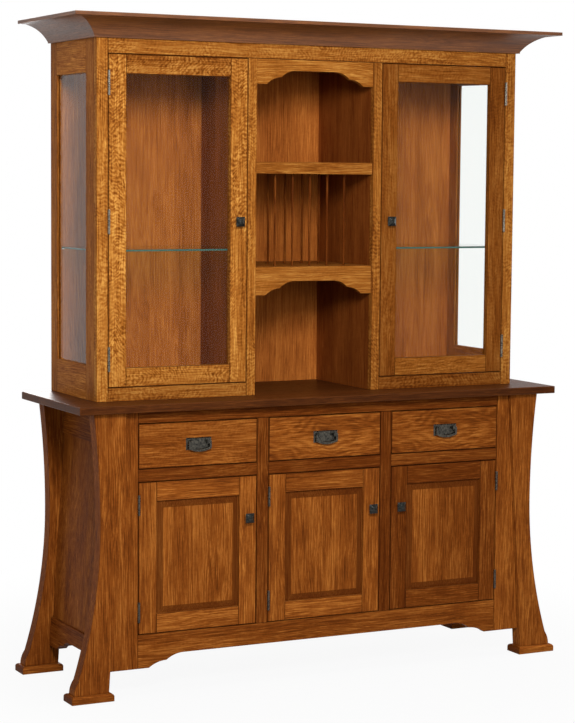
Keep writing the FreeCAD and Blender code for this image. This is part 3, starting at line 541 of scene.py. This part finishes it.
def link(name, mesh, node_name):
    """Stand a finished mesh in for a node, on the body that carries it."""
    piece = bpy.data.objects.new(f"{node_name}_{name}", mesh)
    bpy.context.scene.collection.objects.link(piece)
    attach(piece, frame["nodes"][node_name]["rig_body"])
    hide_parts(node_name)
    return piece


def add_solid(solid, draw, look, points, faces, layers):
    """Add one solid's corners and faces, and what the material reads from them."""
    low, high = span_of([vertex.co for vertex in solid.verts])
    middle = (low + high) / 2
    order = axes_of(high - low, look.upright)
    offset = Vector(draw.uniform(0, PATTERN_SPREAD) for _ in range(3))
    if look.centred:
        offset = -Vector(middle[i] for i in order)
    standing = order[0] == 2
    tone = look.tone_at(middle, standing) + draw.uniform(-TONE_SPREAD, TONE_SPREAD)
    start = len(points)
    solid.verts.index_update()
    for vertex in solid.verts:
        points.append(vertex.co.copy())
        layers["grain"].append(Vector(vertex.co[i] for i in order) + offset)
        layers["tone"].append(tone)
        layers["flake"].append(look.flake)
    mark = solid.faces.layers.int["edge_mark"]
    for face in solid.faces:
        faces.append([start + vertex.index for vertex in face.verts])
        layers["end"].append(look.end_share(face.normal, order) * (1 - face[mark]))
        layers["edge"].append(look.edge_wear_and_painted_light * face[mark])


def layered_mesh(name, points, faces, layers, sharp_edge):
    """Make a mesh that carries what the material reads."""
    mesh = bpy.data.meshes.new(name)
    mesh.from_pydata(points, [], faces)
    mesh.shade_smooth()
    mesh.set_sharp_from_angle(angle=sharp_edge)
    grain = mesh.attributes.new("grain", "FLOAT_VECTOR", "POINT")
    grain.data.foreach_set("vector", [c for place in layers["grain"] for c in place])
    for layer, domain in (("tone", "POINT"), ("flake", "POINT"), ("end", "FACE"), ("edge", "FACE")):
        mesh.attributes.new(layer, "FLOAT", domain).data.foreach_set("value", layers[layer])
    return mesh


def dress(name, material, width, sharp_edge=SHARP_EDGE, look=Look()):
    """Stand a piece with eased edges and its own grain in for a node."""
    points, faces = [], []
    layers = {"grain": [], "tone": [], "flake": [], "end": [], "edge": []}
    for index, triangles in enumerate(split_solids(frame["nodes"][name].data)):
        solid = eased_solid(triangles, width, sharp_edge)
        add_solid(solid, random.Random(f"{name} {index}"), look, points, faces, layers)
        solid.free()
    mesh = layered_mesh(name, points, faces, layers, sharp_edge)
    mesh.materials.append(material)
    piece = link("dressed", mesh, name)
    flat = piece.modifiers.new("flat_faces", "WEIGHTED_NORMAL")
    flat.keep_sharp = True
    return piece


# Bevelled panes
def ring(low, high, axes, inset, place):
    """Give the corners of a rectangle across two axes, set in from a box and placed on the third axis."""
    across, up, through = axes
    corners = []
    for a, b in ((0, 0), (1, 0), (1, 1), (0, 1)):
        corner = Vector((0, 0, 0))
        corner[across] = high[across] - inset if a else low[across] + inset
        corner[up] = high[up] - inset if b else low[up] + inset
        corner[through] = place
        corners.append(corner)
    return corners


def bevelled_pane(low, high, outward):
    """Build a sheet that is bevelled all round on its outer face."""
    size = high - low
    through = min(range(3), key=lambda i: size[i])
    axes = [i for i in range(3) if i != through] + [through]
    outer, inner = (high[through], low[through]) if outward > 0 else (low[through], high[through])
    thin = outer - outward * PANE_DROP
    rings = [
        ring(low, high, axes, 0, inner),
        ring(low, high, axes, 0, thin),
        ring(low, high, axes, PANE_RIM, thin),
        ring(low, high, axes, PANE_RIM + PANE_BEVEL, outer),
    ]
    faces = [(3, 2, 1, 0), (12, 13, 14, 15)]
    for start in (0, 4, 8):
        for i in range(4):
            after = (i + 1) % 4
            faces.append((start + i, start + after, start + 4 + after, start + 4 + i))
    return [corner for corners in rings for corner in corners], faces


def dress_panes(name, material, outward_of):
    """Stand bevelled sheets in for the panes of a node."""
    points, faces = [], []
    for triangles in split_solids(frame["nodes"][name].data):
        low, high = span_of([place for triangle in triangles for place in triangle])
        corners, quads = bevelled_pane(low, high, outward_of((low + high) / 2))
        faces += [[len(points) + i for i in quad] for quad in quads]
        points += corners
    mesh = bpy.data.meshes.new(name)
    mesh.from_pydata(points, [], faces)
    solid = bmesh.new()
    solid.from_mesh(mesh)
    bmesh.ops.recalc_face_normals(solid, faces=solid.faces)
    solid.to_mesh(mesh)
    solid.free()
    mesh.materials.append(material)
    return link("bevelled", mesh, name)


# Every piece of the hutch
oak_hutch = make_oak("oak_hutch", HUTCH_STAIN)
oak_side = make_oak("oak_side", SIDE_STAIN)
oak_base = make_oak("oak_base", BASE_STAIN)
oak_flame = make_oak("oak_flame", BASE_STAIN, flame=0.18)
oak_panel = make_oak("oak_panel", BASE_STAIN, stave=0.12)
# The light rim colours of the top and cornice paint a highlight on their eased edges.
oak_top = make_oak(
    "oak_top", TOP_STAIN, gloss=0.05, roughness=0.38, stave=0.11, ticks=0.2, rim=TOP_STAIN[2],
)
oak_cornice = make_oak("oak_cornice", CORNICE_STAIN, gloss=0.35, ticks=0.2, rim=CORNICE_STAIN[2])
oak_inside = make_oak("oak_inside", INSIDE_STAIN, stave=0.105, ticks=0.12)
maple = make_oak("maple", MAPLE, roughness=0.45)
pull_bronze = make_bronze("pull_bronze", PULL_COLOURS, PULL_DIMPLE)
knob_bronze = make_bronze("knob_bronze", KNOB_COLOURS, KNOB_DIMPLE)
hinge_bronze = make_bronze("hinge_bronze", BASE_HINGE_COLOURS, HINGE_DIMPLE)
hinge_brass = make_bronze("hinge_brass", HUTCH_HINGE_COLOURS, HINGE_DIMPLE)
steel = make_steel()
pane_glass = make_glass("pane_glass", PANE_TINT)
shelf_glass = make_glass("shelf_glass", SHELF_TINT, SHELF_EDGE_TINT)

# The boards, by the oak that they are made of
# The edge shares below darken eased edges as painted shade in the gaps round doors, drawers and frames.
BOARDS = {
    oak_hutch: {
        "hutch_face_frame": Look(tone=-0.1, flake=0.7, level_painted_shade=-0.35, edge_wear_and_painted_light=0.75),
        "hutch_door_left_frame": Look(tone=0.2, flake=1.0, level_painted_shade=-0.45, edge_wear_and_painted_light=0.75),
        "hutch_door_right_frame": Look(tone=-0.5, flake=0.3, edge_wear_and_painted_light=0.75),
        "centre_shelves": Look(tone=-0.35), "centre_valances": Look(tone=-0.3, edge_wear_and_painted_light=0.7),
    },
    oak_side: {
        "hutch_side_left": Look(tone=0.4, flake=0.25), "hutch_side_right": Look(tone=0.4, flake=0.25),
    },
    oak_base: {
        "leg_front_left": Look(tone=0.3), "leg_front_right": Look(tone=0.45),
        "leg_rear_left": Look(tone=0.1), "leg_rear_right": Look(tone=0.1), "foot_pads": Look(tone=0.2),
        "base_face_frame": Look(tone=0.35, inner_tone=-0.6, inner_reach=0.6, edge_wear_and_painted_light=0.75),
        "base_apron": Look(tone=0.1),
        "base_side_left": Look(tone=-0.1), "base_side_right": Look(tone=-0.1),
        "drawer_front_left": Look(tone=0.05, flake=0.2, edge_wear_and_painted_light=0.75),
        "base_door_left_frame": Look(tone=0.45, edge_wear_and_painted_light=0.75),
        "base_door_centre_frame": Look(tone=0.35, edge_wear_and_painted_light=0.75),
        "base_door_right_frame": Look(tone=-0.3, edge_wear_and_painted_light=0.75),
    },
    oak_flame: {
        "drawer_front_centre": Look(tone=0.2, centred=True, edge_wear_and_painted_light=0.75),
        "drawer_front_right": Look(centred=True, edge_wear_and_painted_light=0.75),
    },
    # On the raised panels every bevel darkens by its slope: end grain at top and bottom, painted shade on
    # the bevels along the grain.
    oak_panel: {
        "base_door_left_panel": Look(tone=0.1, raised=True),
        "base_door_centre_panel": Look(tone=0.3, raised=True),
        "base_door_right_panel": Look(tone=-0.15, raised=True),
    },
    oak_inside: {
        "base_back": Look(upright=True), "base_carcase": Look(), "hutch_back": Look(tone=0.3, upright=True),
        # The roof and partitions are toned darker as painted shade inside the bays.
        "hutch_roof": Look(tone=-0.5), "hutch_partitions": Look(tone=-0.4, upright=True),
        "hutch_bay_floors": Look(),
    },
}
for material, looks in BOARDS.items():
    for name, look in looks.items():
        dress(name, material, WOOD_EASE, look=look)
dress("buffet_top", oak_top, WOOD_EASE, look=Look(tone=0.2, ends=0.1))
# The cornice's light tone is partly painted light for its downward-facing cove.
dress("cornice", oak_cornice, WOOD_EASE, look=Look(tone=0.5, ends=0.1))
for name in ("drawer_box_left", "drawer_box_centre", "drawer_box_right"):
    dress(name, maple, WOOD_EASE)
dress("plate_rack_dowels", oak_base, WOOD_EASE, ROUND_EDGE, Look(tone=-0.7))

for name in frame["nodes"]:
    if name.endswith("_hinges"):
        hinge = hinge_brass if name.startswith("hutch_") else hinge_bronze
        dress(name, hinge, METAL_EASE, ROUND_EDGE)
    elif name.endswith("_knob"):
        dress(name, knob_bronze, METAL_EASE)
    elif name.startswith(("pull_", "bail_")):
        dress(name, pull_bronze, METAL_EASE)
dress("shelf_clips", steel, METAL_EASE)
dress("glass_shelves", shelf_glass, GLASS_EASE, look=Look(raised=True))
dress_panes("hutch_door_left_glass", pane_glass, lambda place: -1)
dress_panes("hutch_door_right_glass", pane_glass, lambda place: -1)
dress_panes("hutch_side_glass", pane_glass, lambda place: math.copysign(1, place.x))


# Floor, light and camera
def shows_background(tree):
    """Tell the rays that show the background: from the camera, through glass, or mirrored."""
    path = node(tree, "LightPath")
    seen = calc(tree, "MAXIMUM", path.outputs["Is Camera Ray"], path.outputs["Is Transmission Ray"])
    return calc(tree, "MAXIMUM", seen, path.outputs["Is Glossy Ray"])


def make_floor():
    """A pale floor that keeps the shadow near the object and turns white away from it."""
    material, tree = new_material("floor")
    place = node(tree, "TexCoord").outputs["Object"]
    distance = node(tree, "VectorMath", {0: place}, operation="LENGTH").outputs["Value"]
    share = between(tree, distance, FLOOR_NEAR, FLOOR_FAR, FLOOR_WHITE_SHARE, 1.0)
    share = calc(tree, "MULTIPLY", share, shows_background(tree))
    matt = node(tree, "BsdfDiffuse", {"Color": FLOOR_COLOUR})
    white = node(tree, "Emission", {"Color": WHITE, "Strength": 1.0})
    mixed = node(tree, "MixShader", {0: share, 1: matt.outputs[0], 2: white.outputs[0]})
    finish_material(tree, mixed.outputs[0])
    mesh = bpy.data.meshes.new("floor")
    corners = [(x * FLOOR_HALF, y * FLOOR_HALF, 0) for x, y in ((-1, -1), (1, -1), (1, 1), (-1, 1))]
    mesh.from_pydata(corners, [], [(0, 1, 2, 3)])
    mesh.materials.append(material)
    floor = bpy.data.objects.new("floor", mesh)
    bpy.context.scene.collection.objects.link(floor)


def make_world():
    """Light evenly; the camera sees white, also through glass and mirrored in glass and metal."""
    world = bpy.data.worlds.new("studio")
    world.use_nodes = True
    tree = world.node_tree
    tree.nodes.clear()
    light = node(tree, "Background", {"Color": WHITE, "Strength": WORLD_LEVEL})
    white = node(tree, "Background", {"Color": WHITE, "Strength": 1.0})
    seen = shows_background(tree)
    mixed = node(tree, "MixShader", {0: seen, 1: light.outputs[0], 2: white.outputs[0]})
    node(tree, "OutputWorld", {"Surface": mixed.outputs[0]})
    bpy.context.scene.world = world


def make_lamp(name, place, target, side, power):
    lamp = bpy.data.lights.new(name, "AREA")
    lamp.shape = "SQUARE"
    lamp.size = side
    lamp.energy = power
    holder = bpy.data.objects.new(name, lamp)
    holder.location = place
    holder.rotation_mode = "QUATERNION"
    holder.rotation_quaternion = (Vector(target) - Vector(place)).to_track_quat("-Z", "Y")
    holder.visible_camera = False
    bpy.context.scene.collection.objects.link(holder)


def make_camera():
    camera = bpy.data.cameras.new("camera")
    camera.sensor_width = SENSOR
    camera.lens = FOCAL_PIXELS * SENSOR / PICTURE_HEIGHT_PIXELS
    camera.clip_end = VIEW_REACH
    holder = bpy.data.objects.new("camera", camera)
    turn = Matrix.Rotation(math.radians(-CAMERA_YAW), 4, "Z")
    turn = turn @ Matrix.Rotation(math.radians(90 + CAMERA_PITCH), 4, "X")
    turn = turn @ Matrix.Rotation(math.radians(CAMERA_ROLL), 4, "Z")
    holder.matrix_world = Matrix.Translation(CAMERA_PLACE) @ turn
    bpy.context.scene.collection.objects.link(holder)
    bpy.context.scene.camera = holder


make_floor()
make_world()
for lamp_name, settings in LAMPS.items():
    make_lamp(lamp_name, *settings)
make_camera()
bpy.context.scene.view_settings.view_transform = "Standard"
